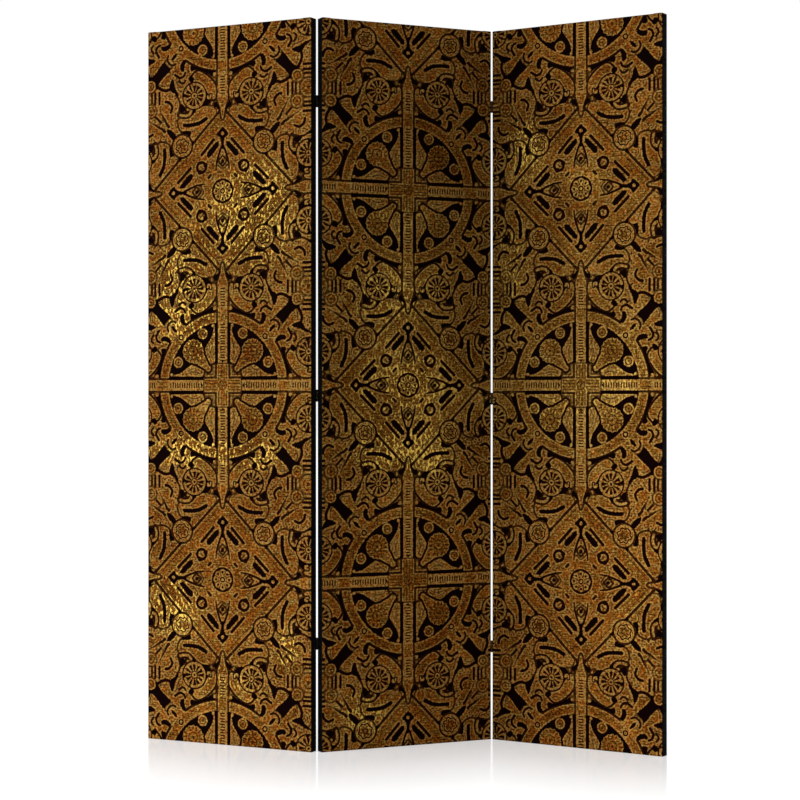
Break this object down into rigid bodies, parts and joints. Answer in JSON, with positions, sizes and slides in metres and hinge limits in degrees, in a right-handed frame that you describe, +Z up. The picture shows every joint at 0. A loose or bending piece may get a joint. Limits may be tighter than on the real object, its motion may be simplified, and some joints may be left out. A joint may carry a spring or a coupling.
{
  "type": "folding room divider",
  "caption": "Tall folding screen of canvas-covered wooden panels, joined by small butt hinges so that it folds in a zigzag and stands on its own edges.",
  "frame": {"origin": "centre of the middle panel's foot, on the floor", "axes": "+X along the middle panel to the right as seen from the front, +Y to the back, +Z up"},
  "size_m": [1.0125, 0.7635, 1.72],
  "materials": {
    "printed_canvas": "matt woven canvas printed with a gold-brown ornament on near black, slight sheen on the print",
    "back_cloth": "matt black spun cloth",
    "pine": "planed raw pine",
    "plywood": "raw plywood",
    "staple_wire": "zinc-plated flat wire",
    "hinge_steel": "satin black",
    "screw_steel": "black oxide"
  },
  "bodies": {
    "left_panel": {"left_panel_canvas": "printed_canvas", "left_panel_back_cloth": "back_cloth", "left_panel_left_stile": "pine", "left_panel_right_stile": "pine", "left_panel_top_rail": "pine", "left_panel_bottom_rail": "pine", "left_panel_upper_cross_rail": "pine", "left_panel_lower_cross_rail": "pine", "left_panel_corner_splines": "plywood", "left_panel_staples": "staple_wire", "left_panel_hinge_screws": "screw_steel", "left_fold_top_outer_leaf": "hinge_steel", "left_fold_middle_outer_leaf": "hinge_steel", "left_fold_low_outer_leaf": "hinge_steel"},
    "middle_panel": {"middle_panel_canvas": "printed_canvas", "middle_panel_back_cloth": "back_cloth", "middle_panel_left_stile": "pine", "middle_panel_right_stile": "pine", "middle_panel_top_rail": "pine", "middle_panel_bottom_rail": "pine", "middle_panel_upper_cross_rail": "pine", "middle_panel_lower_cross_rail": "pine", "middle_panel_corner_splines": "plywood", "middle_panel_staples": "staple_wire", "middle_panel_hinge_screws": "screw_steel", "left_fold_top_inner_leaf": "hinge_steel", "left_fold_top_pin": "hinge_steel", "left_fold_middle_inner_leaf": "hinge_steel", "left_fold_middle_pin": "hinge_steel", "left_fold_low_inner_leaf": "hinge_steel", "left_fold_low_pin": "hinge_steel", "right_fold_top_inner_leaf": "hinge_steel", "right_fold_top_pin": "hinge_steel", "right_fold_middle_inner_leaf": "hinge_steel", "right_fold_middle_pin": "hinge_steel", "right_fold_low_inner_leaf": "hinge_steel", "right_fold_low_pin": "hinge_steel"},
    "right_panel": {"right_panel_canvas": "printed_canvas", "right_panel_back_cloth": "back_cloth", "right_panel_left_stile": "pine", "right_panel_right_stile": "pine", "right_panel_top_rail": "pine", "right_panel_bottom_rail": "pine", "right_panel_upper_cross_rail": "pine", "right_panel_lower_cross_rail": "pine", "right_panel_corner_splines": "plywood", "right_panel_staples": "staple_wire", "right_panel_hinge_screws": "screw_steel", "right_fold_top_outer_leaf": "hinge_steel", "right_fold_middle_outer_leaf": "hinge_steel", "right_fold_low_outer_leaf": "hinge_steel"}
  },
  "joints": [
    {"name": "left_fold", "type": "hinge", "parent": "middle_panel", "child": "left_panel", "pos_m": [-0.226, 0.01415, 0], "axis": [0, 0, 1], "range_deg": [-128.3, 51.7]},
    {"name": "right_fold", "type": "hinge", "parent": "middle_panel", "child": "right_panel", "pos_m": [0.226, -0.01415, 0], "axis": [0, 0, 1], "range_deg": [-121.8, 58.2]}
  ]
}
